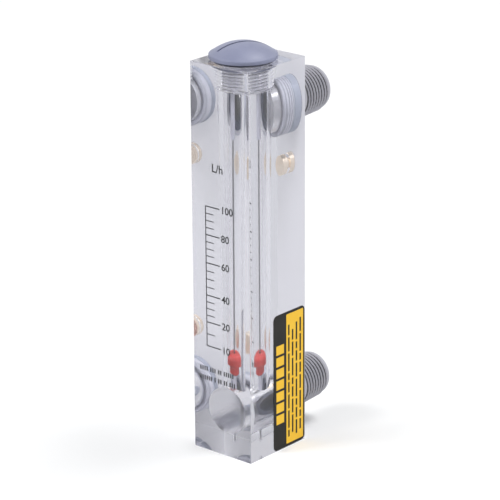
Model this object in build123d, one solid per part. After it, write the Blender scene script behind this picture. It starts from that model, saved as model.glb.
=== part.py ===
from build123d import *
import os
from math import pi

# Variable-area flow meter cut from one clear block: a float rides a guide rod in a tapered bore,
# water comes in at the lower rear nipple and leaves at the upper one, and a screw plug closes the top.
# Millimetres. Origin at the centre of the block's bottom face, +Z up, +Y towards the nipples,
# and the scale face looks along -Y.

# Clear block
block_width = 30.5
block_depth = 34.5
block_height = 165.0
block_edge = 0.3

# Ports in the rear face
inlet_height = 18.7
outlet_drop = 20.7
inlet_passage_radius = 9.9
outlet_passage_radius = 9.9
front_wall = 5.5
outlet_reach = 3.9

# Metering bore, with its axis measured from the front face
bore_setback = 14.6
bore_bottom_radius = 5.4
bore_top_radius = 7.0

# Screw plug, 3/8 inch parallel pipe thread drawn at its crests
plug_thread_radius = 8.33
plug_thread_length = 8.7
plug_thread_pitch = 1.337
plug_neck_radius = 10.0
plug_neck_depth = 2.1
plug_head_radius = 13.85
plug_rim = 1.9
plug_rim_round = 0.8
plug_dome = 4.5
plug_slot_width = 1.2
plug_slot_depth = 2.4
plug_slot_turn = 28.0
plug_lead = 0.9

# Seals
plug_seal_section = 2.0
port_seal_section = 1.7

# Guide rod and the two sleeves that stop the float
rod_radius = 0.6
rod_foot_depth = 5.3
rod_foot_clearance = 0.25
rod_grip = 6.0
stop_radius = 1.6
upper_stop_length = 21.1
lower_stop_rise = 13.9
lower_stop_length = 8.0

# Float
float_radius = 5.25
float_flange = 2.4
float_crown = 2.0
float_crown_radius = 2.5
float_stem_radius = 3.55
float_stem = 4.9
float_edge = 0.3
float_stem_chamfer = 1.0
float_countersink = 1.2
float_countersink_depth = 0.7

# Pipe adaptors, with half inch pipe threads drawn as rings at their real pitch
adaptor_inner_radius = 12.0
adaptor_inner_length = 9.5
adaptor_neck_radius = 10.1
adaptor_neck = 7.8
adaptor_thread_radius = 10.48
adaptor_thread = 14.1
adaptor_thread_pitch = 1.814
adaptor_thread_depth = 1.15
adaptor_thread_land = 0.36
adaptor_last_ridge = 0.5
adaptor_nose = 2.6
adaptor_tip_radius = 7.85
adaptor_bore_radius = 6.5
adaptor_lead = 0.8

# Threaded brass inserts for the mounting screws
insert_radius = 4.3
insert_length = 7.2
insert_hole_radius = 2.5
insert_groove = 0.4
insert_groove_width = 1.6
insert_end_wall = 1.0
insert_above_inlet = 25.8
insert_below_outlet = 24.8

# Label on the right-hand face
label_width = 19.75
label_height = 59.5
label_thickness = 0.15
label_corner = 2.2
label_margin = 0.4

# Clearances
thread_clearance = 0.1
fixed_clearance = 0.05
running_clearance = 0.1
rest_gap = 0.05
end_clearance = 0.3

# Places worked out from the sizes above
front_y = -block_depth / 2
rear_y = block_depth / 2
bore_y = front_y + bore_setback
outlet_height = block_height - outlet_drop
passage_front_y = front_y + front_wall
outlet_front_y = bore_y + outlet_reach

plug_seal_radius = plug_neck_radius + fixed_clearance + plug_seal_section / 2
seal_recess_radius = plug_seal_radius + plug_seal_section / 2 + thread_clearance
seal_recess_depth = plug_seal_section * 0.45
head_height = block_height - seal_recess_depth + plug_seal_section
neck_bottom = block_height - plug_neck_depth
counterbore_floor = neck_bottom - end_clearance
plug_bottom = neck_bottom - plug_thread_length
tapped_bottom = plug_bottom - end_clearance

lower_stop_top = inlet_height + lower_stop_rise
float_foot = lower_stop_top + rest_gap
float_flange_height = float_foot + float_stem
float_top = float_flange_height + float_flange + float_crown
upper_stop_top = plug_bottom - rest_gap
upper_stop_bottom = upper_stop_top - upper_stop_length
float_travel = upper_stop_bottom - float_top - rest_gap

inlet_floor = inlet_height - inlet_passage_radius
rod_hole_bottom = inlet_floor - rod_foot_depth
rod_bottom = rod_hole_bottom + end_clearance
rod_top = plug_bottom + rod_grip

port_hole_radius = adaptor_inner_radius + fixed_clearance
port_hole_depth = adaptor_inner_length + port_seal_section + fixed_clearance
port_seal_radius = port_hole_radius - fixed_clearance - port_seal_section / 2
insert_heights = (inlet_height + insert_above_inlet, outlet_height - insert_below_outlet)


def turned(outline):
    """Solid of revolution about Z from a closed outline of (radius, height) points."""
    wire = Polyline(*[(r, z) for r, z in outline], close=True)
    return revolve(Plane.XZ * make_face(wire), Axis.Z)


def turned_face(*edges):
    """Solid of revolution about Z from the edges of a closed outline in the radius-height plane."""
    return revolve(Plane.XZ * make_face(Curve() + list(edges)), Axis.Z)


def ring(centre_radius, section):
    """O-ring about Z, centred on the origin."""
    return revolve(Plane.XZ * Pos(centre_radius, 0) * Circle(section / 2), Axis.Z)


def rod_along_z(radius, low, high):
    """Round rod about Z between two heights."""
    return Pos(0, 0, low) * Cylinder(radius, high - low, align=(Align.CENTER, Align.CENTER, Align.MIN))


def rearward(height, y=rear_y):
    """Placement that turns a shape's +Z to the block's +Y, with its origin at (0, y, height)."""
    return Pos(0, y, height) * Rot(-90, 0, 0)


def on_bore_axis(shape):
    """A shape about Z, moved onto the metering bore's axis."""
    return Pos(0, bore_y, 0) * shape


def metering_bore():
    """Straight foot, taper, tapped hole, neck counterbore and seal recess, as one cutter."""
    tapped_radius = plug_thread_radius + thread_clearance
    neck_hole_radius = plug_neck_radius + thread_clearance
    recess_floor = block_height - seal_recess_depth
    over = block_height + 1
    return turned([
        (0, inlet_height),
        (bore_bottom_radius, inlet_height),
        (bore_bottom_radius, float_flange_height),
        (bore_top_radius, tapped_bottom),
        (tapped_radius, tapped_bottom),
        (tapped_radius, counterbore_floor),
        (neck_hole_radius, counterbore_floor),
        (neck_hole_radius, recess_floor),
        (seal_recess_radius, recess_floor),
        (seal_recess_radius, over),
        (0, over),
    ])


def port(height, passage_radius, passage_end_y):
    """Threaded port hole and the water passage in front of it, as one cutter."""
    passage_depth = rear_y - passage_end_y
    return rearward(height) * turned([
        (0, 1),
        (port_hole_radius, 1),
        (port_hole_radius, -port_hole_depth),
        (passage_radius, -port_hole_depth),
        (passage_radius, -passage_depth),
        (0, -passage_depth),
    ])


def make_block():
    block = Box(block_width, block_depth, block_height, align=(Align.CENTER, Align.CENTER, Align.MIN))
    block = chamfer(block.edges(), block_edge)
    block -= on_bore_axis(metering_bore())
    block -= port(inlet_height, inlet_passage_radius, passage_front_y)
    block -= port(outlet_height, outlet_passage_radius, outlet_front_y)
    rod_hole = rod_along_z(rod_radius + rod_foot_clearance, rod_hole_bottom, inlet_height)
    block -= on_bore_axis(rod_hole)
    for height in insert_heights:
        block -= rearward(height) * rod_along_z(insert_radius, -insert_length, 1)
    return block


def make_plug():
    """Domed screwdriver plug: head, neck, thread and the blind hole for the guide rod."""
    rim_top = head_height + plug_rim
    shoulder = rim_top - plug_rim_round
    inner = plug_head_radius - plug_rim_round
    bend = plug_rim_round * (1 - 0.5 ** 0.5)
    crown = rim_top + plug_dome
    sphere = (inner ** 2 + plug_dome ** 2) / (2 * plug_dome)
    middle = inner / 2
    middle_height = crown - sphere + (sphere ** 2 - middle ** 2) ** 0.5
    thread_foot = plug_thread_radius - plug_lead
    hole_radius = rod_radius + fixed_clearance
    hole_top = rod_top + end_clearance
    body = turned_face(
        Polyline(
            (0, crown),
            (0, hole_top),
            (hole_radius, hole_top),
            (hole_radius, plug_bottom),
            (thread_foot, plug_bottom),
            (plug_thread_radius, plug_bottom + plug_lead),
            (plug_thread_radius, neck_bottom),
            (plug_neck_radius, neck_bottom),
            (plug_neck_radius, head_height),
            (plug_head_radius, head_height),
            (plug_head_radius, shoulder),
        ),
        ThreePointArc(
            (plug_head_radius, shoulder),
            (plug_head_radius - bend, rim_top - bend),
            (inner, rim_top),
        ),
        ThreePointArc((inner, rim_top), (middle, middle_height), (0, crown)),
    )
    slot = Box(
        plug_slot_width,
        3 * plug_head_radius,
        plug_slot_depth,
        align=(Align.CENTER, Align.CENTER, Align.MIN),
    )
    slot_floor = crown - plug_slot_depth
    body -= Pos(0, 0, slot_floor) * Rot(0, 0, -plug_slot_turn) * slot
    return on_bore_axis(body)


def make_plug_seal():
    seal_height = head_height - plug_seal_section / 2
    return on_bore_axis(Pos(0, 0, seal_height) * ring(plug_seal_radius, plug_seal_section))


def make_rod():
    return on_bore_axis(rod_along_z(rod_radius, rod_bottom, rod_top))


def make_stop(low, high):
    """Sleeve on the rod, where the float ends its travel."""
    sleeve = rod_along_z(stop_radius, low, high)
    sleeve -= rod_along_z(rod_radius, low, high)
    return on_bore_axis(sleeve)


def make_float():
    """One-piece float at rest on the lower stop: stem, flange that fills the bore, and a crowned top."""
    flange_top = float_flange_height + float_flange
    hole = rod_radius + running_clearance
    crown_bulge = 0.35 * float_crown
    middle_radius = (float_radius + float_crown_radius) / 2
    body = turned_face(
        Polyline(
            (float_crown_radius, float_top),
            (float_countersink, float_top),
            (hole, float_top - float_countersink_depth),
            (hole, float_foot),
            (float_stem_radius - float_stem_chamfer, float_foot),
            (float_stem_radius, float_foot + float_stem_chamfer),
            (float_stem_radius, float_flange_height),
            (float_radius - float_edge, float_flange_height),
            (float_radius, float_flange_height + float_edge),
            (float_radius, flange_top),
        ),
        ThreePointArc(
            (float_radius, flange_top),
            (middle_radius + crown_bulge, flange_top + float_crown / 2 + crown_bulge / 2),
            (float_crown_radius, float_top),
        ),
    )
    return on_bore_axis(body)


def thread_profile(start, end):
    """Outline of an adaptor's thread: full ridges with flat crests, a lower last ridge and a plain root."""
    root = adaptor_thread_radius - adaptor_thread_depth
    flank = adaptor_thread_pitch / 2 - adaptor_thread_land
    ridges = int((end - start) / adaptor_thread_pitch)
    points = []
    for ridge in range(ridges + 1):
        crest = adaptor_thread_radius if ridge < ridges else adaptor_thread_radius - adaptor_last_ridge
        crest_start = start + ridge * adaptor_thread_pitch
        crest_end = crest_start + adaptor_thread_land
        points += [(crest, crest_start), (crest, crest_end), (root, crest_end + flank)]
        if ridge < ridges:
            points.append((root, crest_end + flank + adaptor_thread_land))
    return points + [(root, end)]


def make_adaptor(height):
    """Pipe adaptor: screwed end in the block, plain neck, outer pipe thread and a rounded nose."""
    thread_start = adaptor_neck
    thread_end = thread_start + adaptor_thread
    tip = thread_end + adaptor_nose
    relief = adaptor_thread_radius - adaptor_neck_radius
    root = adaptor_thread_radius - adaptor_thread_depth
    body = turned_face(
        Polyline(
            (adaptor_tip_radius, tip),
            (adaptor_bore_radius, tip),
            (adaptor_bore_radius, -adaptor_inner_length),
            (adaptor_inner_radius - adaptor_lead, -adaptor_inner_length),
            (adaptor_inner_radius, -adaptor_inner_length + adaptor_lead),
            (adaptor_inner_radius, 0),
            (adaptor_neck_radius, 0),
            (adaptor_neck_radius, thread_start - relief),
            *thread_profile(thread_start, thread_end),
        ),
        EllipticalCenterArc(
            (adaptor_tip_radius, thread_end),
            root - adaptor_tip_radius,
            adaptor_nose,
            start_angle=0,
            arc_size=90,
        ),
    )
    return rearward(height) * body


def make_port_seal(height):
    seal_depth = adaptor_inner_length + port_seal_section / 2
    return rearward(height) * Pos(0, 0, -seal_depth) * ring(port_seal_radius, port_seal_section)


def make_insert():
    """Blind brass insert with a retaining groove round its middle, flush with the rear face."""
    groove_low = -(insert_length + insert_groove_width) / 2
    groove_high = groove_low + insert_groove_width
    groove_radius = insert_radius - insert_groove
    return turned([
        (0, -insert_length),
        (insert_radius, -insert_length),
        (insert_radius, groove_low),
        (groove_radius, groove_low),
        (groove_radius, groove_high),
        (insert_radius, groove_high),
        (insert_radius, 0),
        (insert_hole_radius, 0),
        (insert_hole_radius, insert_end_wall - insert_length),
        (0, insert_end_wall - insert_length),
    ])


def make_label():
    """Thin rounded label in the lower rear corner of the right-hand face."""
    centre_y = rear_y - label_margin - label_width / 2
    centre_z = label_margin + label_height / 2
    face_plane = Plane(
        origin=(block_width / 2, centre_y, centre_z),
        x_dir=(0, 1, 0),
        z_dir=(1, 0, 0),
    )
    outline = RectangleRounded(label_width, label_height, label_corner)
    return extrude(face_plane * outline, label_thickness)


def save(name, shape):
    export_step(shape, f"parts/{name}.step")


os.makedirs("parts", exist_ok=True)
save("body_block", make_block())
save("top_plug", make_plug())
save("plug_o_ring", make_plug_seal())
save("guide_rod", make_rod())
save("upper_stop", make_stop(upper_stop_bottom, upper_stop_top))
save("lower_stop", make_stop(lower_stop_top - lower_stop_length, lower_stop_top))
save("float", make_float())
save("inlet_adaptor", make_adaptor(inlet_height))
save("outlet_adaptor", make_adaptor(outlet_height))
save("inlet_o_ring", make_port_seal(inlet_height))
save("outlet_o_ring", make_port_seal(outlet_height))
save("mounting_inserts", Compound(children=[rearward(height) * make_insert() for height in insert_heights]))
save("side_label", make_label())

lift_per_radian = plug_thread_pitch / (2 * pi)
plug_thread_turns = plug_thread_length / plug_thread_pitch
print(f"plug lifts {lift_per_radian:.5f} mm for each radian")
print(f"plug leaves its thread after {plug_thread_turns:.2f} turns")
print(f"float travels {float_travel:.2f} mm")
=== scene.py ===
import math
import bpy
from mathutils import Matrix, Vector


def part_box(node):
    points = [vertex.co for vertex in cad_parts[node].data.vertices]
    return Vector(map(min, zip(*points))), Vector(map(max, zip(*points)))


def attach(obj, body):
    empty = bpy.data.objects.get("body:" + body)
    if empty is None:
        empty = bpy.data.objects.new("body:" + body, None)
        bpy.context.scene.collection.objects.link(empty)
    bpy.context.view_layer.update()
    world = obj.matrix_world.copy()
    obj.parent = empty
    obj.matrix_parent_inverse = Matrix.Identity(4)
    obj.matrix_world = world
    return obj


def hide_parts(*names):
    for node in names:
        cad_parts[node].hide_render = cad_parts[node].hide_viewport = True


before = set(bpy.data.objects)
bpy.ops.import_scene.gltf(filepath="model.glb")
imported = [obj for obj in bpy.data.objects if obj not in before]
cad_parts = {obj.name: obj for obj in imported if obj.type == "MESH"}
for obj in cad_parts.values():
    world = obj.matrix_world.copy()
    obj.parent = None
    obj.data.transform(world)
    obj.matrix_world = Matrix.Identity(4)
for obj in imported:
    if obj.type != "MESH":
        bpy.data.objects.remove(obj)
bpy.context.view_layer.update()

MM = 0.001
ROOT = "meter_block"
SEGMENTS = 144

# Clearances and small steps. Sizes are in metres, apart from the scale's marks.
END_CLEARANCE = 0.3 * MM
SKIN = 0.05 * MM
CLOSE_FIT = 0.03 * MM
PAST_FACE = 1 * MM

# Block
BLOCK_LOW, BLOCK_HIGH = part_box("body_block")
FRONT_Y = BLOCK_LOW.y
REAR_Y = BLOCK_HIGH.y
RIGHT_X = BLOCK_HIGH.x
BLOCK_TOP = BLOCK_HIGH.z
BLOCK_EDGE = 0.15 * MM

# Metering bore and the guide rod's hole
ROD_RADIUS = 0.6 * MM
BORE_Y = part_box("guide_rod")[0].y + ROD_RADIUS
FLOAT_STEM = 4.9 * MM
FLANGE_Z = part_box("float")[0].z + FLOAT_STEM
BORE_BOTTOM_RADIUS = 5.4 * MM
BORE_TOP_RADIUS = 7.0 * MM
ROD_HOLE_RADIUS = 0.85 * MM
ROD_HOLE_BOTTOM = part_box("guide_rod")[0].z - END_CLEARANCE

# Screw plug
PLUG_PITCH = 1.337 * MM
PLUG_THREAD_RADIUS = 8.33 * MM
PLUG_THREAD_DEPTH = 0.80 * MM
PLUG_THREAD_LEAD = 0.9 * MM
PLUG_NECK_RADIUS = 10.0 * MM
PLUG_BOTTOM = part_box("top_plug")[0].z
PLUG_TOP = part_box("top_plug")[1].z
PLUG_HEAD_RADIUS = 13.85 * MM
NECK_BOTTOM = BLOCK_TOP - 2.1 * MM
HEAD_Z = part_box("plug_o_ring")[1].z
RIM = 1.9 * MM
RIM_ROUND = 0.8 * MM
SLOT_TURN = math.radians(28)
SLOT_WIDTH = 1.2 * MM
SLOT_DEPTH = 3.2 * MM
COUNTERBORE_Z = NECK_BOTTOM - END_CLEARANCE
TAPPED_BOTTOM = PLUG_BOTTOM - END_CLEARANCE
RECESS_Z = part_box("plug_o_ring")[0].z
RECESS_RADIUS = 12.15 * MM

# Ports and the water passages in front of them
INLET_Z = (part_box("inlet_adaptor")[0].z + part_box("inlet_adaptor")[1].z) / 2
OUTLET_Z = (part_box("outlet_adaptor")[0].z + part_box("outlet_adaptor")[1].z) / 2
PASSAGE_RADIUS = 9.9 * MM
PASSAGE_HAZE = 2.2 * MM
PASSAGE_FRONT_Y = FRONT_Y + 5.5 * MM
OUTLET_FRONT_Y = BORE_Y + 3.9 * MM
PORT_PITCH = 1.337 * MM
PORT_THREAD_RADIUS = 12.0 * MM
PORT_THREAD_DEPTH = 0.70 * MM
PORT_DEPTH = 11.25 * MM
PORT_PLAIN = 4.2 * MM
PORT_HOLE_RADIUS = 11.0 * MM
PORT_MOUTH = 0.15 * MM

# Pipe adaptors
ADAPTOR_INNER = 9.5 * MM
ADAPTOR_LEAD = 0.8 * MM
NIPPLE_PITCH = 1.814 * MM
NIPPLE_THREAD_DEPTH = 1.15 * MM
NIPPLE_RADIUS = 10.48 * MM
NIPPLE_NECK_RADIUS = 10.1 * MM
NIPPLE_NECK = 7.8 * MM
NOSE_START = 21.9 * MM
NOSE_CREST_RADIUS = 9.75 * MM
NOSE_RADIUS = 9.3 * MM
NIPPLE_TIP = 24.5 * MM
NIPPLE_TIP_RADIUS = 7.85 * MM
NIPPLE_BORE = 6.5 * MM
NIPPLE_BORE_EDGE = 0.4 * MM

# Brass inserts
INSERT_RADIUS = 4.3 * MM
INSERT_LENGTH = 7.2 * MM
INSERT_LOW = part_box("mounting_inserts")[0].z + INSERT_RADIUS
INSERT_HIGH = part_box("mounting_inserts")[1].z - INSERT_RADIUS

# Printed scale on the front face. SCALE_MARKS gives each number's height in millimetres.
INK_PROUD = 0.01 * MM
INK_DEPTH = 0.05 * MM
SPINE_X = -7.9 * MM
SCALE_MARKS = {100: 106.2, 80: 94.1, 60: 82.1, 40: 68.2, 20: 56.6, 10: 46.2}
LINE = 0.48 * MM
MAJOR_MARK = 7.4 * MM
MINOR_MARK = 4.3 * MM
DIGIT_SIZE = 4.3 * MM
UNIT_SIZE = 4.8 * MM
INK_WEIGHT = 0.07 * MM
STROKE_WIDTH = 0.68 * MM
STROKE_HEIGHT = 2.0 * MM
STROKE_STEP = 1.15 * MM
WORD_GAP = 0.8 * MM

# Film label on the right-hand face
LABEL_LIFT = 0.02 * MM
LABEL_FILM = 0.08 * MM
LABEL_INK = 0.02 * MM


def new_object(name, mesh):
    piece = bpy.data.objects.new(name, mesh)
    bpy.context.scene.collection.objects.link(piece)
    return piece


def spun(name, rings, segments=SEGMENTS, closed=False):
    """Mesh of revolution about Z. Each ring is (height, radius) or (height, function of the angle).
    A closed outline joins its last ring to its first; an open one is capped at both ends."""
    vertices = []
    for height, radius in rings:
        for step in range(segments):
            angle = 2 * math.pi * step / segments
            reach = radius(angle) if callable(radius) else radius
            vertices.append((reach * math.cos(angle), reach * math.sin(angle), height))
    faces = []
    count = len(rings)
    for row in range(count if closed else count - 1):
        low = row * segments
        high = ((row + 1) % count) * segments
        for step in range(segments):
            after = (step + 1) % segments
            faces.append((low + step, low + after, high + after, high + step))
    if not closed:
        faces.append(tuple(reversed(range(segments))))
        faces.append(tuple(range((count - 1) * segments, count * segments)))
    mesh = bpy.data.meshes.new(name)
    mesh.from_pydata(vertices, [], faces)
    mesh.validate()
    return mesh


def tooth(phase):
    """Height of a rounded thread, from 0 at its root to 1 at its crest."""
    flat = 0.12
    straight = 0.7
    wave = abs((phase % 1.0) * 2 - 1)
    eased = min(max((wave - flat) / (1 - 2 * flat), 0.0), 1.0)
    return straight * eased + (1 - straight) * eased * eased * (3 - 2 * eased)


def thread_rings(low, high, crest, depth, pitch, fade=0.6, rows_per_turn=12, crest_end=None):
    """Rings of a right-hand helical thread between two heights.
    It fades out over part of a turn at each end, and its crest may taper."""
    rows = max(4, round((high - low) / pitch * rows_per_turn))
    crest_end = crest if crest_end is None else crest_end
    rings = []
    for row in range(rows + 1):
        height = low + (high - low) * row / rows
        top = crest + (crest_end - crest) * row / rows
        near_end = min(height - low, high - height) / (fade * pitch)
        strength = min(1.0, max(0.0, near_end))

        def radius(angle, height=height, top=top, strength=strength):
            shape = tooth(height / pitch - angle / (2 * math.pi))
            return top - depth * (1 - shape) * strength - depth * 0.5 * (1 - strength)

        rings.append((height, radius))
    return rings


def arc(centre, radii, start, end, steps):
    """Points (height, radius) along an elliptical arc, with its angles in degrees from the radius axis."""
    points = []
    for step in range(steps + 1):
        angle = math.radians(start + (end - start) * step / steps)
        height = centre[1] + radii[1] * math.sin(angle)
        radius = centre[0] + radii[0] * math.cos(angle)
        points.append((height, radius))
    return points


def smooth(mesh, angle=35):
    for face in mesh.polygons:
        face.use_smooth = True
    mesh.set_sharp_from_angle(angle=math.radians(angle))


def rearward(mesh, height):
    """Turns a mesh about Z so that its +Z points along the block's +Y, from (0, REAR_Y, height)."""
    mesh.transform(Matrix.Translation((0, REAR_Y, height)) @ Matrix.Rotation(math.radians(-90), 4, "X"))
    return mesh


def on_bore_axis(mesh):
    mesh.transform(Matrix.Translation((0, BORE_Y, 0)))
    return mesh


def applied(piece):
    """The piece's mesh with its modifiers applied."""
    graph = bpy.context.evaluated_depsgraph_get()
    mesh = bpy.data.meshes.new_from_object(piece.evaluated_get(graph))
    piece.modifiers.clear()
    piece.data = mesh
    return mesh


def cut(piece, cutters):
    """Cuts the cutters' shapes out of the piece and deletes them."""
    for cutter in cutters:
        modifier = piece.modifiers.new("cut", "BOOLEAN")
        modifier.operation = "DIFFERENCE"
        modifier.solver = "EXACT"
        modifier.object = cutter
    mesh = applied(piece)
    for cutter in cutters:
        bpy.data.objects.remove(cutter)
    return mesh


def paint(mesh, finishes, finish_of):
    """Gives the mesh these materials, and each face the one that finish_of names for it."""
    for material in finishes:
        mesh.materials.append(material)
    for face in mesh.polygons:
        face.material_index = finishes.index(finish_of(face))


# Materials


class Nodes:
    """A shader node tree with short calls to add and join nodes."""

    def __init__(self, tree, output="ShaderNodeOutputMaterial"):
        self.tree = tree
        self.tree.nodes.clear()
        self.output = self.add(output)

    def add(self, kind, **settings):
        node = self.tree.nodes.new(kind)
        for key, value in settings.items():
            setattr(node, key, value)
        return node

    def join(self, source, target):
        self.tree.links.new(source, target)

    def noise(self, scale, detail=4.0, roughness=0.5, stretch=(1, 1, 1)):
        place = self.add("ShaderNodeTexCoord")
        mapping = self.add("ShaderNodeMapping")
        mapping.inputs["Scale"].default_value = stretch
        noise = self.add("ShaderNodeTexNoise")
        noise.inputs["Scale"].default_value = scale
        noise.inputs["Detail"].default_value = detail
        noise.inputs["Roughness"].default_value = roughness
        self.join(place.outputs["Object"], mapping.inputs["Vector"])
        self.join(mapping.outputs["Vector"], noise.inputs["Vector"])
        return noise.outputs["Fac"]

    def ramp(self, factor, dark, light):
        """Blends from the dark to the light colour over the middle of a 0 to 1 factor."""
        ramp = self.add("ShaderNodeValToRGB")
        stops = ((0.3, dark), (0.7, light))
        for element, (position, colour) in zip(ramp.color_ramp.elements, stops):
            element.position = position
            element.color = (*colour, 1)
        self.join(factor, ramp.inputs["Fac"])
        return ramp.outputs["Color"]

    def spread(self, factor, low, high):
        """Maps a 0 to 1 factor onto a range."""
        span = self.add("ShaderNodeMapRange")
        span.inputs["To Min"].default_value = low
        span.inputs["To Max"].default_value = high
        self.join(factor, span.inputs["Value"])
        return span.outputs["Result"]

    def bump(self, height, strength, distance):
        bump = self.add("ShaderNodeBump")
        bump.inputs["Strength"].default_value = strength
        bump.inputs["Distance"].default_value = distance
        self.join(height, bump.inputs["Height"])
        return bump.outputs["Normal"]

    def mix(self, factor, first, second):
        """Mixes two shaders by a number or by a node's output."""
        mix = self.add("ShaderNodeMixShader")
        if isinstance(factor, float):
            mix.inputs["Fac"].default_value = factor
        else:
            self.join(factor, mix.inputs["Fac"])
        self.join(first, mix.inputs[1])
        self.join(second, mix.inputs[2])
        return mix.outputs["Shader"]


def new_material(name):
    """A new material and its node tree."""
    material = bpy.data.materials.new(name)
    material.use_nodes = True
    return material, Nodes(material.node_tree)


def plain_finish(name, dark, light, roughness, specular=0.5, metallic=0.0, stretch=(1, 1, 1)):
    """A slightly mottled opaque finish with a fine grain."""
    material, nodes = new_material(name)
    shader = nodes.add("ShaderNodeBsdfPrincipled")
    shader.inputs["Specular IOR Level"].default_value = specular
    shader.inputs["Metallic"].default_value = metallic
    mottle = nodes.noise(scale=160, stretch=stretch)
    grain = nodes.noise(scale=3600, detail=2, stretch=stretch)
    nodes.join(nodes.ramp(mottle, dark, light), shader.inputs["Base Color"])
    nodes.join(nodes.spread(mottle, *roughness), shader.inputs["Roughness"])
    nodes.join(nodes.bump(grain, strength=0.05, distance=0.05 * MM), shader.inputs["Normal"])
    nodes.join(shader.outputs["BSDF"], nodes.output.inputs["Surface"])
    return material


def acrylic(name, colour, roughness, bump_strength=0.0, shadow_pass=0.92, whitened=0.0, scattered_back=0.1):
    """Clear plastic that bends light, and lets lamps through to the pieces inside it.
    A whitened surface also scatters that share of the light, as a milled face does."""
    material, nodes = new_material(name)
    shader = nodes.add("ShaderNodeBsdfPrincipled")
    shader.inputs["Base Color"].default_value = (*colour, 1)
    shader.inputs["Transmission Weight"].default_value = 1.0
    shader.inputs["IOR"].default_value = 1.49
    haze = nodes.noise(scale=60, detail=5)
    nodes.join(nodes.spread(haze, *roughness), shader.inputs["Roughness"])
    if bump_strength:
        scuff = nodes.noise(scale=700, detail=6, stretch=(1, 1, 0.25))
        nodes.join(nodes.bump(scuff, bump_strength, distance=0.03 * MM), shader.inputs["Normal"])
    surface = shader.outputs["BSDF"]
    if whitened:
        scatter_colour = (0.9, 0.9, 0.94)
        passed_on = 0.85
        through = nodes.add("ShaderNodeBsdfTranslucent")
        through.inputs["Color"].default_value = (*(passed_on * part for part in scatter_colour), 1)
        back = nodes.add("ShaderNodeBsdfDiffuse")
        back.inputs["Color"].default_value = (*scatter_colour, 1)
        scatter = nodes.mix(scattered_back, through.outputs["BSDF"], back.outputs["BSDF"])
        surface = nodes.mix(whitened, surface, scatter)
    clear = nodes.add("ShaderNodeBsdfTransparent")
    clear.inputs["Color"].default_value = (shadow_pass, shadow_pass, shadow_pass, 1)
    path = nodes.add("ShaderNodeLightPath")
    seen = nodes.mix(path.outputs["Is Shadow Ray"], surface, clear.outputs["BSDF"])
    nodes.join(seen, nodes.output.inputs["Surface"])
    return material


def translucent_finish(name, colour, passing, roughness):
    """Coloured plastic that lets some light through."""
    material, nodes = new_material(name)
    shader = nodes.add("ShaderNodeBsdfPrincipled")
    shader.inputs["Transmission Weight"].default_value = passing
    shader.inputs["IOR"].default_value = 1.4
    mottle = nodes.noise(scale=300)
    darker = tuple(0.88 * part for part in colour)
    nodes.join(nodes.ramp(mottle, darker, colour), shader.inputs["Base Color"])
    nodes.join(nodes.spread(mottle, *roughness), shader.inputs["Roughness"])
    nodes.join(shader.outputs["BSDF"], nodes.output.inputs["Surface"])
    return material


CLEAR = acrylic("clear_acrylic", (0.57, 0.57, 0.62), (0.0, 0.02))
BORED = acrylic("bored_acrylic", (0.96, 0.96, 0.97), (0.0, 0.02))
DRILLED = acrylic("drilled_acrylic", (0.94, 0.94, 0.96), (0.06, 0.14), bump_strength=0.15)
FROSTED = acrylic(
    "frosted_acrylic", (0.95, 0.94, 0.93), (0.2, 0.3), bump_strength=0.4, shadow_pass=0.8)
SCORED = acrylic(
    "scored_acrylic", (0.95, 0.95, 0.97), (0.2, 0.3), bump_strength=0.2, shadow_pass=0.95,
    whitened=0.6, scattered_back=0.7)
MILLED = acrylic(
    "milled_acrylic", (0.80, 0.80, 0.84), (0.45, 0.6), bump_strength=0.4, shadow_pass=0.8, whitened=0.92)
# Sawn top face: rougher than the clear faces, and with a darker tint that is painted shade.
SAWN_SHADED_TOP = acrylic("sawn_acrylic_painted_shade", (0.40, 0.40, 0.46), (0.12, 0.22), bump_strength=0.2)
PLUG = plain_finish("plug_blue_grey", (0.21, 0.225, 0.33), (0.245, 0.26, 0.37), (0.38, 0.5))
# A paler grey on the plug's thread below its neck.
PLUG_THREAD = plain_finish("plug_thread_pale", (0.46, 0.46, 0.52), (0.54, 0.54, 0.60), (0.45, 0.6))
ADAPTOR = plain_finish("adaptor_grey", (0.36, 0.355, 0.40), (0.42, 0.415, 0.46), (0.4, 0.55))
COLLAR = plain_finish("adaptor_collar", (0.40, 0.435, 0.52), (0.45, 0.485, 0.57), (0.45, 0.6))
# Painted shade: a near-black grey on the faces deep in the nipples' thread grooves, standing in for the shade
# in the grooves.
GROOVE_SHADE = plain_finish("thread_groove_painted_shade", (0.06, 0.06, 0.065), (0.085, 0.085, 0.09), (0.5, 0.65))
# Painted shade: a near-black blue on the adaptors' bores and inner end faces, standing in for the shade
# inside them.
BORE_SHADE = plain_finish("adaptor_inside_painted_shade", (0.05, 0.058, 0.095), (0.066, 0.075, 0.12), (0.4, 0.55))
SEALED_THREAD = plain_finish("sealed_thread", (0.72, 0.73, 0.80), (0.80, 0.81, 0.88), (0.5, 0.65))
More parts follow.
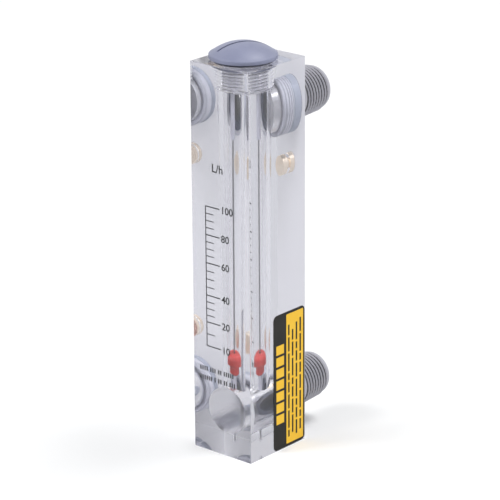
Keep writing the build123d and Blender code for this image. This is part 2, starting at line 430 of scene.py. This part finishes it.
# Painted shade: a darker copy of the sealed thread's pale grey, on the faces deep in its grooves.
SEALED_GROOVE_SHADE = plain_finish("sealed_groove_painted_shade", (0.44, 0.45, 0.51), (0.50, 0.51, 0.57), (0.5, 0.65))
RUBBER = plain_finish("seal_rubber", (0.09, 0.093, 0.12), (0.12, 0.124, 0.155), (0.55, 0.7))
SILICONE = plain_finish("seal_silicone", (0.52, 0.53, 0.60), (0.59, 0.60, 0.67), (0.4, 0.5))
STEEL = plain_finish(
    "rod_steel", (0.28, 0.28, 0.29), (0.36, 0.36, 0.37), (0.25, 0.35), metallic=1.0, stretch=(1, 1, 0.05))
SLEEVE = plain_finish("stop_plastic", (0.50, 0.50, 0.57), (0.56, 0.56, 0.63), (0.5, 0.6))
RED = translucent_finish("float_red", (0.60, 0.03, 0.025), 0.12, (0.3, 0.42))
BRASS = plain_finish("brass_end", (0.96, 0.82, 0.66), (1.0, 0.90, 0.76), (0.3, 0.45), metallic=1.0)
BLACK_FILM = plain_finish(
    "label_black", (0.018, 0.018, 0.017), (0.026, 0.025, 0.023), (0.5, 0.6), specular=0.15)
FILM_BACK = plain_finish("label_back", (0.86, 0.86, 0.88), (0.92, 0.92, 0.94), (0.5, 0.6))
YELLOW_INK = plain_finish(
    "label_yellow", (0.86, 0.50, 0.03), (0.90, 0.56, 0.05), (0.45, 0.55), specular=0.2)
BLACK_INK = plain_finish(
    "label_print", (0.02, 0.018, 0.01), (0.03, 0.028, 0.02), (0.5, 0.6), specular=0.15)
SCALE_INK = plain_finish("scale_ink", (0.008, 0.008, 0.01), (0.014, 0.014, 0.016), (0.4, 0.5))

BLOCK_FINISHES = (CLEAR, BORED, DRILLED, FROSTED, MILLED, SAWN_SHADED_TOP, SCORED)
PLUG_FINISHES = (PLUG, PLUG_THREAD)
ADAPTOR_FINISHES = (ADAPTOR, SEALED_THREAD, BORE_SHADE, GROOVE_SHADE, COLLAR, SEALED_GROOVE_SHADE)


# Clear block


def rounded_box(name, low, high, edge):
    """Box piece with small rounds on all twelve edges."""
    mesh = bpy.data.meshes.new(name)
    corners = [(x, y, z) for x in (low.x, high.x) for y in (low.y, high.y) for z in (low.z, high.z)]
    faces = [(0, 1, 3, 2), (4, 6, 7, 5), (0, 4, 5, 1), (2, 3, 7, 6), (0, 2, 6, 4), (1, 5, 7, 3)]
    mesh.from_pydata(corners, [], faces)
    piece = new_object(name, mesh)
    bevel = piece.modifiers.new("edge", "BEVEL")
    bevel.width = edge
    bevel.segments = 2
    applied(piece)
    return piece


def bore_cutter():
    """The metering bore with its taper, tapped hole, counterbore and seal recess."""
    clearance = 0.08 * MM
    neck_hole = PLUG_NECK_RADIUS - CLOSE_FIT
    crest = PLUG_THREAD_RADIUS + clearance
    thread = thread_rings(TAPPED_BOTTOM, COUNTERBORE_Z, crest, PLUG_THREAD_DEPTH, PLUG_PITCH, fade=0.15)
    rings = [
        (INLET_Z, BORE_BOTTOM_RADIUS),
        (FLANGE_Z, BORE_BOTTOM_RADIUS),
        (TAPPED_BOTTOM, BORE_TOP_RADIUS),
        *thread,
        (COUNTERBORE_Z, neck_hole),
        (RECESS_Z, neck_hole),
        (RECESS_Z, RECESS_RADIUS),
        (BLOCK_TOP + PAST_FACE, RECESS_RADIUS),
    ]
    return new_object("bore_cutter", on_bore_axis(spun("bore_cutter", rings)))


def port_cutter(height, passage_y):
    """A port hole with the water passage in front of it. The adaptor is sealed in it without an air gap,
    so the block's own wall lies inside the adaptor's surface, except at the mouth."""
    mouth_radius = PORT_THREAD_RADIUS + CLOSE_FIT
    rings = [
        (passage_y - REAR_Y, PASSAGE_RADIUS),
        (passage_y - REAR_Y + PASSAGE_HAZE, PASSAGE_RADIUS),
        (-PORT_DEPTH, PASSAGE_RADIUS),
        (-PORT_DEPTH, PORT_HOLE_RADIUS),
        (-PORT_MOUTH, PORT_HOLE_RADIUS),
        (-PORT_MOUTH, mouth_radius),
        (PAST_FACE, mouth_radius),
    ]
    return new_object("port_cutter", rearward(spun("port_cutter", rings), height))


def rod_hole_cutter():
    """The guide rod's foot hole with a drilled point."""
    point_radius = 0.05 * MM
    point = ROD_HOLE_BOTTOM - ROD_HOLE_RADIUS * 0.5
    rings = [(point, point_radius), (ROD_HOLE_BOTTOM, ROD_HOLE_RADIUS), (INLET_Z, ROD_HOLE_RADIUS)]
    return new_object("rod_hole_cutter", on_bore_axis(spun("rod_hole_cutter", rings, segments=32)))


def insert_cutter(height):
    """A hole for a pressed insert. Its wall lies just inside the insert's surface, except at the mouth."""
    fit = 0.1 * MM
    mouth_radius = INSERT_RADIUS + CLOSE_FIT
    rings = [
        (-INSERT_LENGTH + fit, INSERT_RADIUS - fit),
        (-fit, INSERT_RADIUS - fit),
        (-fit, mouth_radius),
        (PAST_FACE, mouth_radius),
    ]
    return new_object("insert_cutter", rearward(spun("insert_cutter", rings, segments=64), height))


def on_outside(face):
    """Whether a face of the block lies on its outer faces or their rounded edges."""
    centre = face.center
    side = 0.5 * MM
    edge = 0.3 * MM
    return (
        RIGHT_X - abs(centre.x) < side
        or min(centre.y - FRONT_Y, REAR_Y - centre.y) < edge
        or min(centre.z, BLOCK_TOP - centre.z) < edge
    )


def block_finish(face):
    """Milled rear face and port steps, sawn top with a darker tint that is painted shade, clear outer faces
    and bore. Near the ports' axes the walls are frosted at the front, and further back scored in the upper
    half and drilled in the lower."""
    centre = face.center
    if on_outside(face):
        if centre.y > REAR_Y - SKIN:
            return MILLED
        # The top face gets the sawn finish, whose darker tint is painted shade.
        return SAWN_SHADED_TOP if centre.z > BLOCK_TOP - SKIN else CLEAR
    reach = min(math.hypot(centre.x, centre.z - height) for height in (INLET_Z, OUTLET_Z))
    port_reach = PORT_THREAD_RADIUS + 0.3 * MM
    if reach >= port_reach:
        return BORED
    if any(abs(centre.y - y) < SKIN for y in (REAR_Y - PORT_DEPTH, OUTLET_FRONT_Y)):
        return MILLED
    if centre.y < PASSAGE_FRONT_Y + PASSAGE_HAZE:
        return FROSTED
    return SCORED if centre.z > BLOCK_TOP / 2 else DRILLED


def make_block():
    """Clear block with its bore, ports and holes cut out."""
    piece = rounded_box("body_block_clear", BLOCK_LOW, BLOCK_HIGH, BLOCK_EDGE)
    cutters = [
        bore_cutter(),
        port_cutter(INLET_Z, PASSAGE_FRONT_Y),
        port_cutter(OUTLET_Z, OUTLET_FRONT_Y),
        rod_hole_cutter(),
        insert_cutter(INSERT_LOW),
        insert_cutter(INSERT_HIGH),
    ]
    mesh = cut(piece, cutters)
    mesh.materials.clear()
    smooth(mesh)
    paint(mesh, BLOCK_FINISHES, block_finish)
    for face in mesh.polygons:
        face.use_smooth = not on_outside(face)
    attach(piece, ROOT)
    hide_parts("body_block")


# Screw plug


def plug_dome_rings():
    """The head's rounded rim and the spherical dome that it runs into."""
    rim_top = HEAD_Z + RIM
    inner = PLUG_HEAD_RADIUS - RIM_ROUND
    dome = PLUG_TOP - rim_top
    sphere = (inner ** 2 + dome ** 2) / (2 * dome)
    slope = math.degrees(math.asin(inner / sphere))
    nearly_top = 89.6
    ring_gap = 0.1 * MM
    round_centre = (inner, rim_top - RIM_ROUND)
    round_points = arc(round_centre, (RIM_ROUND, RIM_ROUND), start=0, end=90 - slope, steps=5)
    dome_centre = (0, PLUG_TOP - sphere)
    dome_points = arc(dome_centre, (sphere, sphere), start=90 - slope, end=nearly_top, steps=14)
    dome_reach = round_points[-1][1] - ring_gap
    return round_points + [(height, radius) for height, radius in dome_points if radius < dome_reach]


def slot_cutter():
    """The screwdriver slot, right across the head."""
    height = 8 * MM
    bpy.ops.mesh.primitive_cube_add(size=1)
    slot = bpy.context.object
    slot.scale = (SLOT_WIDTH, 3 * PLUG_HEAD_RADIUS, height)
    slot.rotation_euler.z = -SLOT_TURN
    slot.location = (0, BORE_Y, PLUG_TOP - SLOT_DEPTH + height / 2)
    return slot


def plug_finish(face):
    margin = 0.01 * MM
    return PLUG_THREAD if face.center.z < NECK_BOTTOM + margin else PLUG


def make_plug():
    """Domed plug with a screwdriver slot, a helical thread and the blind hole for the guide rod."""
    rod_clearance = 0.05 * MM
    hole = ROD_RADIUS + rod_clearance
    hole_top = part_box("guide_rod")[1].z + END_CLEARANCE
    thread_start = PLUG_BOTTOM + 0.5 * MM
    neck_edge = 0.15 * MM
    head_edge = 0.2 * MM
    thread = thread_rings(
        thread_start, NECK_BOTTOM, PLUG_THREAD_RADIUS, PLUG_THREAD_DEPTH, PLUG_PITCH, fade=0.3)
    rings = [
        (hole_top, hole),
        (PLUG_BOTTOM, hole),
        (PLUG_BOTTOM, PLUG_THREAD_RADIUS - PLUG_THREAD_LEAD),
        *thread,
        (NECK_BOTTOM, PLUG_NECK_RADIUS - neck_edge),
        (NECK_BOTTOM + neck_edge, PLUG_NECK_RADIUS),
        (HEAD_Z, PLUG_NECK_RADIUS),
        (HEAD_Z, PLUG_HEAD_RADIUS - head_edge),
        (HEAD_Z + head_edge, PLUG_HEAD_RADIUS),
        *plug_dome_rings(),
    ]
    piece = new_object("top_plug_turned", on_bore_axis(spun("top_plug_turned", rings)))
    mesh = cut(piece, [slot_cutter()])
    mesh.materials.clear()
    paint(mesh, PLUG_FINISHES, plug_finish)
    smooth(mesh, angle=30)
    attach(piece, "plug")
    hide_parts("top_plug")


# Pipe adaptors


def adaptor_rings():
    """Outline of an adaptor: sealed inner thread, collar, neck, tapered outer thread and rounded nose."""
    collar_edge = 0.2 * MM
    neck_edge = 0.4 * MM
    inner_start = -ADAPTOR_INNER + ADAPTOR_LEAD
    inner = thread_rings(
        inner_start, -PORT_PLAIN, PORT_THREAD_RADIUS, PORT_THREAD_DEPTH, PORT_PITCH, fade=0.4)
    outer = thread_rings(
        NIPPLE_NECK, NOSE_START, NIPPLE_RADIUS, NIPPLE_THREAD_DEPTH, NIPPLE_PITCH, fade=0.5,
        rows_per_turn=28, crest_end=NOSE_CREST_RADIUS)
    nose_size = (NOSE_RADIUS - NIPPLE_TIP_RADIUS, NIPPLE_TIP - NOSE_START)
    nose = arc((NIPPLE_TIP_RADIUS, NOSE_START), nose_size, start=0, end=88, steps=6)
    return [
        (-ADAPTOR_INNER, NIPPLE_BORE),
        (-ADAPTOR_INNER, PORT_THREAD_RADIUS - ADAPTOR_LEAD),
        *inner,
        (-PORT_PLAIN + collar_edge, PORT_THREAD_RADIUS),
        (-collar_edge, PORT_THREAD_RADIUS),
        (0, PORT_THREAD_RADIUS - collar_edge),
        (0, NIPPLE_NECK_RADIUS),
        (NIPPLE_NECK - neck_edge, NIPPLE_NECK_RADIUS),
        *outer,
        *nose,
        (NIPPLE_TIP, NIPPLE_BORE + NIPPLE_BORE_EDGE),
        (NIPPLE_TIP - NIPPLE_BORE_EDGE, NIPPLE_BORE),
    ]


def adaptor_finish(y, reach):
    """Finish of an adaptor at a place along it and a distance from its axis. Its bore and inner end get
    painted shade, and so do the faces deep in its thread grooves.
    """
    thread_start = REAR_Y + NIPPLE_NECK
    thread_end = REAR_Y + NOSE_START
    sealed_root = PORT_THREAD_RADIUS - 0.6 * PORT_THREAD_DEPTH
    margin = 0.1 * MM
    # The bore and the inner end face get painted shade.
    if reach < NIPPLE_BORE + margin or y < REAR_Y - ADAPTOR_INNER + SKIN:
        return BORE_SHADE
    # Sealed thread, with painted shade on the faces deep in its grooves.
    if y < REAR_Y - PORT_PLAIN:
        return SEALED_GROOVE_SHADE if reach < sealed_root else SEALED_THREAD
    if y < REAR_Y - margin:
        return COLLAR
    if thread_start < y < thread_end:
        along = (y - thread_start) / (thread_end - thread_start)
        crest = NIPPLE_RADIUS + (NOSE_CREST_RADIUS - NIPPLE_RADIUS) * along
        groove_top = crest - 0.45 * NIPPLE_THREAD_DEPTH
        # Faces deep in the outer thread's grooves get painted shade.
        if reach < groove_top:
            return GROOVE_SHADE
    return ADAPTOR


def make_adaptor(name, node, height):
    """Adaptor turned from grey plastic, with its inner end sealed into the block."""
    mesh = rearward(spun(name, adaptor_rings(), closed=True), height)

    def finish_of(face):
        return adaptor_finish(face.center.y, math.hypot(face.center.x, face.center.z - height))

    paint(mesh, ADAPTOR_FINISHES, finish_of)
    smooth(mesh)
    piece = new_object(name, mesh)
    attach(piece, ROOT)
    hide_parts(node)


# Flat pieces


def prism(name, outline, thickness, material, x_dir, normal, origin):
    """Thin plate from an outline of (along x_dir, up) points, standing thickness proud of its origin."""
    x_axis = Vector(x_dir)
    z_axis = Vector((0, 0, 1))
    out = Vector(normal)
    base = Vector(origin)
    front = [base + x_axis * along + z_axis * up + out * thickness for along, up in outline]
    back = [base + x_axis * along + z_axis * up for along, up in outline]
    count = len(outline)
    faces = [tuple(range(count)), tuple(reversed(range(count, 2 * count)))]
    faces += [(i, i + count, (i + 1) % count + count, (i + 1) % count) for i in range(count)]
    mesh = bpy.data.meshes.new(name)
    mesh.from_pydata(front + back, [], faces)
    mesh.materials.append(material)
    return mesh


def rectangle(left, right, bottom, top):
    return [(left, bottom), (right, bottom), (right, top), (left, top)]


def joined(name, meshes):
    """One mesh from several of the same material."""
    vertices, faces = [], []
    for mesh in meshes:
        start = len(vertices)
        vertices += [tuple(v.co) for v in mesh.vertices]
        faces += [tuple(start + i for i in face.vertices) for face in mesh.polygons]
    whole = bpy.data.meshes.new(name)
    whole.from_pydata(vertices, [], faces)
    whole.materials.append(meshes[0].materials[0])
    return whole


# Scale


def bar(left, right, bottom, top):
    """A bar of ink in the front face."""
    return prism(
        "bar", rectangle(left, right, bottom, top), INK_PROUD + INK_DEPTH, SCALE_INK,
        x_dir=(1, 0, 0), normal=(0, -1, 0), origin=(0, FRONT_Y + INK_DEPTH, 0))


def lettering(name, text, size, x, z):
    """Ink characters in the front face, in the default plain font."""
    curve = bpy.data.curves.new(name, "FONT")
    curve.body = text
    curve.size = size
    curve.offset = INK_WEIGHT
    curve.extrude = (INK_PROUD + INK_DEPTH) / 2
    curve.resolution_u = 6
    holder = new_object(name + "_curve", curve)
    graph = bpy.context.evaluated_depsgraph_get()
    mesh = bpy.data.meshes.new_from_object(holder.evaluated_get(graph))
    bpy.data.objects.remove(holder)
    place = Matrix.Translation((x, FRONT_Y + (INK_DEPTH - INK_PROUD) / 2, z))
    mesh.transform(place @ Matrix.Rotation(math.radians(90), 4, "X"))
    mesh.materials.clear()
    mesh.materials.append(SCALE_INK)
    return mesh


def add_ink(name, mesh):
    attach(new_object(name, mesh), ROOT)


def fine_print(x, z, words):
    """A row of plain strokes in groups, one group for each number in words."""
    strokes = []
    for letters in words:
        for _ in range(letters):
            strokes.append(bar(x, x + STROKE_WIDTH, z, z + STROKE_HEIGHT))
            x += STROKE_STEP
        x += WORD_GAP
    return strokes


def scale_bars():
    """The scale's spine, its long marks, and the short marks that part each gap of 20 in four
    and each gap of 10 in two."""
    values = list(SCALE_MARKS)
    short_line = 0.8 * LINE
    bars = [bar(SPINE_X - LINE / 2, SPINE_X + LINE / 2, SCALE_MARKS[10] * MM, SCALE_MARKS[100] * MM)]
    for value in values:
        z = SCALE_MARKS[value] * MM
        bars.append(bar(SPINE_X, SPINE_X + MAJOR_MARK, z - LINE / 2, z + LINE / 2))
    for upper, lower in zip(values, values[1:]):
        steps = 4 if upper - lower == 20 else 2
        for step in range(1, steps):
            z = (SCALE_MARKS[upper] + (SCALE_MARKS[lower] - SCALE_MARKS[upper]) * step / steps) * MM
            bars.append(bar(SPINE_X, SPINE_X + MINOR_MARK, z - short_line / 2, z + short_line / 2))
    return bars


def make_scale():
    """Scale, numbers, a generic unit and two rows of strokes."""
    add_ink("scale_lines", joined("scale_lines", scale_bars()))
    digit_x = SPINE_X + MAJOR_MARK + 0.7 * MM
    digit_drop = 1.55 * MM
    for value, mark in SCALE_MARKS.items():
        name = f"scale_number_{value}"
        add_ink(name, lettering(name, str(value), DIGIT_SIZE, digit_x, mark * MM - digit_drop))
    unit_x, unit_z = -4.5 * MM, 121.2 * MM
    add_ink("scale_unit", lettering("scale_unit", "L/h", UNIT_SIZE, unit_x, unit_z))
    print_x, upper_z, lower_z = -11.8 * MM, 35.0 * MM, 31.0 * MM
    upper_row = fine_print(print_x, upper_z, (4, 3, 2, 5))
    lower_row = fine_print(print_x, lower_z, (6, 1, 2, 2, 3))
    add_ink("scale_fine_print", joined("scale_fine_print", upper_row + lower_row))


# Label


def rounded_outline(width, height, radius, steps=6):
    points = []
    for centre_x, centre_y, start in (
        (width / 2 - radius, height / 2 - radius, 0),
        (-width / 2 + radius, height / 2 - radius, 90),
        (-width / 2 + radius, -height / 2 + radius, 180),
        (width / 2 - radius, -height / 2 + radius, 270),
    ):
        for step in range(steps + 1):
            angle = math.radians(start + 90 * step / steps)
            points.append((centre_x + radius * math.cos(angle), centre_y + radius * math.sin(angle)))
    return points


def label_layer(name, outline, base, thickness, material):
    """A flat layer of the label, from an outline of (y, z) points, with its back at x = base."""
    return prism(
        name, outline, thickness, material, x_dir=(0, 1, 0), normal=(1, 0, 0), origin=(base, 0, 0))


def label_plate(name, low_y, high_y, low_z, high_z, radius, base, thickness, material):
    width, height = high_y - low_y, high_z - low_z
    centre_y, centre_z = (low_y + high_y) / 2, (low_z + high_z) / 2
    outline = [(y + centre_y, z + centre_z) for y, z in rounded_outline(width, height, radius)]
    return new_object(name, label_layer(name, outline, base, thickness, material))


def label_bars(name, spans, base, thickness, material):
    """Plain print on the label, one bar for each (low y, high y, low z, high z)."""
    bars = [label_layer(name, rectangle(*span), base, thickness, material) for span in spans]
    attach(new_object(name, joined(name, bars)), ROOT)


def label_blocks(low):
    """Seven equal blocks in a column beside the panel."""
    length = 4.0 * MM
    step = 5.1 * MM
    first = low.z + 11.5 * MM
    left = low.y + 1.8 * MM
    right = low.y + 6.6 * MM
    starts = [first + index * step for index in range(7)]
    return [(left, right, start, start + length) for start in starts]


def label_dashes(panel_low, panel_high, low, high):
    """Four rows of dashes in uneven lengths along the panel."""
    row_step = (panel_high - panel_low) / 4.4
    first_row = 0.45
    width = 0.95 * MM
    gap = 0.9 * MM
    indent = 1.3 * MM
    bottom_margin = 4.0 * MM
    top_margin = 8 * MM
    shortest = 3.0 * MM
    length_step = 1.6 * MM
    dashes = []
    for row in range(4):
        row_y = panel_low + (row + first_row) * row_step
        z = low.z + bottom_margin + indent * (row % 2)
        word = row
        while z < high.z - top_margin:
            length = shortest + length_step * (word * 7 % 4)
            dashes.append((row_y, row_y + width, z, z + length))
            z += length + gap
            word += 1
    return dashes


def make_label():
    """Black film with a yellow panel, plain blocks and plain dashes."""
    low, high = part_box("side_label")
    base = low.x + LABEL_LIFT
    film_corner = 2.2 * MM
    plate = label_plate(
        "side_label_film", low.y, high.y, low.z, high.z, film_corner, base, LABEL_FILM, BLACK_FILM)
    plate.data.materials.append(FILM_BACK)
    back_face = plate.data.polygons[1]
    back_face.material_index = 1
    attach(plate, ROOT)
    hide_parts("side_label")

    printed = base + LABEL_FILM
    margin = 1.2 * MM
    panel_corner = 0.4 * MM
    panel_low = low.y + 8.1 * MM
    panel_high = high.y - 1.0 * MM
    panel = label_plate(
        "side_label_panel", panel_low, panel_high, low.z + margin, high.z - margin, panel_corner,
        printed, LABEL_INK, YELLOW_INK)
    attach(panel, ROOT)
    label_bars("side_label_blocks", label_blocks(low), printed, LABEL_INK, YELLOW_INK)
    dashes = label_dashes(panel_low, panel_high, low, high)
    label_bars("side_label_dashes", dashes, printed, 1.5 * LABEL_INK, BLACK_INK)


# Carried-over pieces

FINISHES = {
    "float": RED,
    "guide_rod": STEEL,
    "upper_stop": SLEEVE,
    "lower_stop": SLEEVE,
    "plug_o_ring": RUBBER,
    "inlet_o_ring": SILICONE,
    "outlet_o_ring": SILICONE,
    "mounting_inserts": BRASS,
}


def finish_carried():
    for node, material in FINISHES.items():
        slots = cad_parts[node].data.materials
        slots.clear()
        slots.append(material)


# Stage


def make_floor():
    """Plain pale floor, a hair below the block."""
    material, nodes = new_material("floor")
    shader = nodes.add("ShaderNodeBsdfPrincipled")
    shader.inputs["Base Color"].default_value = (0.95, 0.95, 0.94, 1)
    shader.inputs["Roughness"].default_value = 0.9
    nodes.join(shader.outputs["BSDF"], nodes.output.inputs["Surface"])
    mesh = bpy.data.meshes.new("floor")
    reach = 3.0
    level = -0.05 * MM
    corners = [(-reach, -reach, level), (reach, -reach, level), (reach, reach, level), (-reach, reach, level)]
    mesh.from_pydata(corners, [], [(0, 1, 2, 3)])
    mesh.materials.append(material)
    floor = new_object("floor", mesh)


def make_world():
    """Soft bluish light, with plain white for the camera, for reflections and through the clear block."""
    world = bpy.data.worlds.new("studio")
    bpy.context.scene.world = world
    world.use_nodes = True
    nodes = Nodes(world.node_tree, "ShaderNodeOutputWorld")
    seen = nodes.add("ShaderNodeBackground")
    seen.inputs["Color"].default_value = (1, 1, 1, 1)
    seen.inputs["Strength"].default_value = 1.0
    lit = nodes.add("ShaderNodeBackground")
    lit.inputs["Color"].default_value = (0.93, 0.95, 1.0, 1)
    lit.inputs["Strength"].default_value = 0.35
    path = nodes.add("ShaderNodeLightPath")
    direct = nodes.add("ShaderNodeMath", operation="MAXIMUM")
    shown = nodes.add("ShaderNodeMath", operation="MAXIMUM")
    nodes.join(path.outputs["Is Camera Ray"], direct.inputs[0])
    nodes.join(path.outputs["Is Transmission Ray"], direct.inputs[1])
    nodes.join(direct.outputs[0], shown.inputs[0])
    nodes.join(path.outputs["Is Glossy Ray"], shown.inputs[1])
    surroundings = nodes.mix(shown.outputs[0], lit.outputs[0], seen.outputs[0])
    nodes.join(surroundings, nodes.output.inputs["Surface"])


def add_lamp(name, location, target, size, power):
    data = bpy.data.lights.new(name, "AREA")
    data.size = size
    data.energy = power
    lamp = new_object(name, data)
    lamp.location = location
    direction = Vector(target) - Vector(location)
    lamp.rotation_euler = direction.to_track_quat("-Z", "Y").to_euler()


def make_camera():
    """Camera where the photograph was taken from: angles, distance and small sideways offsets."""
    azimuth, elevation, roll = map(math.radians, (40.94, 19.48, -0.367))
    distance = 1098.6 * MM
    offset_right, offset_up = -0.4227 * MM, -1.927 * MM
    focal_pixels, frame_pixels, sensor = 2708.4, 500, 36.0
    back = Vector((
        math.sin(azimuth) * math.cos(elevation),
        -math.cos(azimuth) * math.cos(elevation),
        math.sin(elevation),
    ))
    level_right = (-back).cross(Vector((0, 0, 1))).normalized()
    level_up = level_right.cross(-back)
    right = level_right * math.cos(roll) + level_up * math.sin(roll)
    up = level_up * math.cos(roll) - level_right * math.sin(roll)
    data = bpy.data.cameras.new("camera")
    data.sensor_width = sensor
    data.lens = focal_pixels / frame_pixels * sensor
    data.clip_start = 0.05
    camera = new_object("camera", data)
    place = Vector((0, 0, BLOCK_TOP / 2)) + back * distance - right * offset_right - up * offset_up
    axes = Matrix((right, up, back)).transposed().to_4x4()
    camera.matrix_world = Matrix.Translation(place) @ axes
    bpy.context.scene.camera = camera


make_block()
make_plug()
make_adaptor("inlet_adaptor_turned", "inlet_adaptor", INLET_Z)
make_adaptor("outlet_adaptor_turned", "outlet_adaptor", OUTLET_Z)
make_scale()
make_label()
finish_carried()
make_floor()
make_world()
add_lamp("key", (-2.0, -2.8, 3.2), (0, 0, 0.08), size=1.6, power=80)
add_lamp("top", (1.2, 1.6, 4.4), (0, 0, 0.1), size=1.8, power=125)
add_lamp("fill", (3.6, -1.6, 2.0), (0, 0, 0.08), size=1.6, power=45)
make_camera()

scene = bpy.context.scene
scene.view_settings.view_transform = "Standard"
scene.cycles.max_bounces = 32
scene.cycles.transmission_bounces = 32
scene.cycles.transparent_max_bounces = 32
scene.cycles.glossy_bounces = 12
